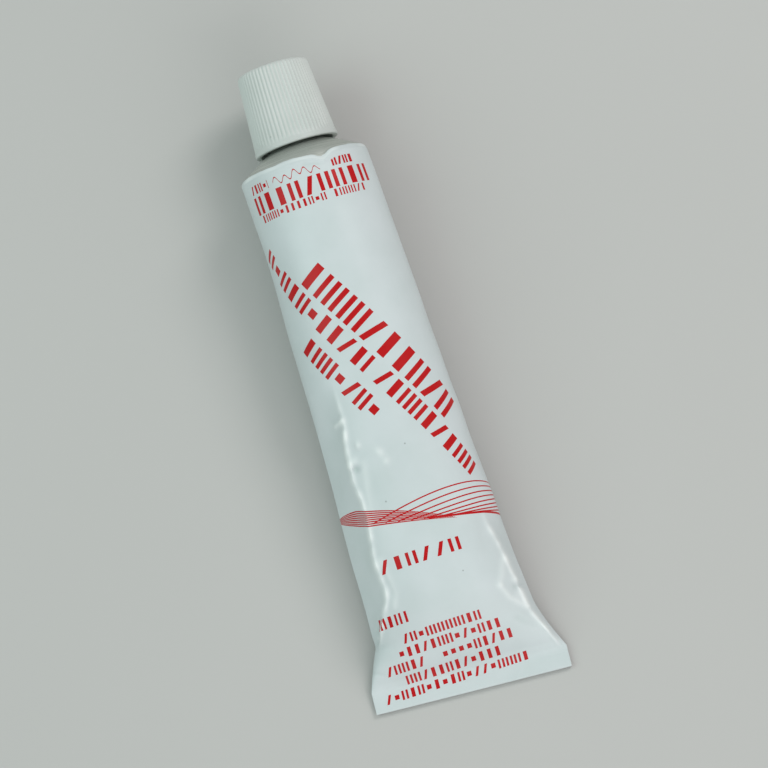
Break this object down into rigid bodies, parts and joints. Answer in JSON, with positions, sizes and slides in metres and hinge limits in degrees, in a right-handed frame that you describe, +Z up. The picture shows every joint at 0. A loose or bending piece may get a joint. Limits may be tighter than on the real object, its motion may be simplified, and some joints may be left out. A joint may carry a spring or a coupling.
{
  "type": "squeeze tube of sealing paste",
  "caption": "Filled metal squeeze tube lying on its back, flat folded tail, bare conical shoulder and a tapered fluted screw cap that turns and rises on its thread.",
  "frame": {"origin": "on the floor under the middle of the lying tube, at the centre of its box", "axes": "+Y along the tube towards the cap, +Z up through the printed front, +X to the right seen from above with the cap pointing away"},
  "size_m": [0.0457, 0.151, 0.0299],
  "materials": {
    "lacquered_sleeve": "gloss white lacquer on thin aluminium with red print blocks",
    "bare_aluminium": "spun, satin",
    "cap_plastic": "moulded, satin",
    "disc_foam": "matte"
  },
  "bodies": {
    "tube": {"tube": "lacquered_sleeve"},
    "disc": {"cap_disc": "disc_foam"},
    "cap": {"cap": "cap_plastic"}
  },
  "joints": [
    {"name": "cap_lift", "type": "slide", "parent": "tube", "child": "disc", "axis": [0, 0.9933, 0.1157], "range_m": [0, 0.00833]},
    {"name": "cap_turn", "type": "hinge", "parent": "disc", "child": "cap", "pos_m": [0, 0.05558, 0.01565], "axis": [0, 0.9933, 0.1157], "range_deg": [0, 1200]}
  ],
  "couplings": [
    {"joint": "cap_turn", "follows": "cap_lift", "rad_per_m": 2513.3}
  ]
}
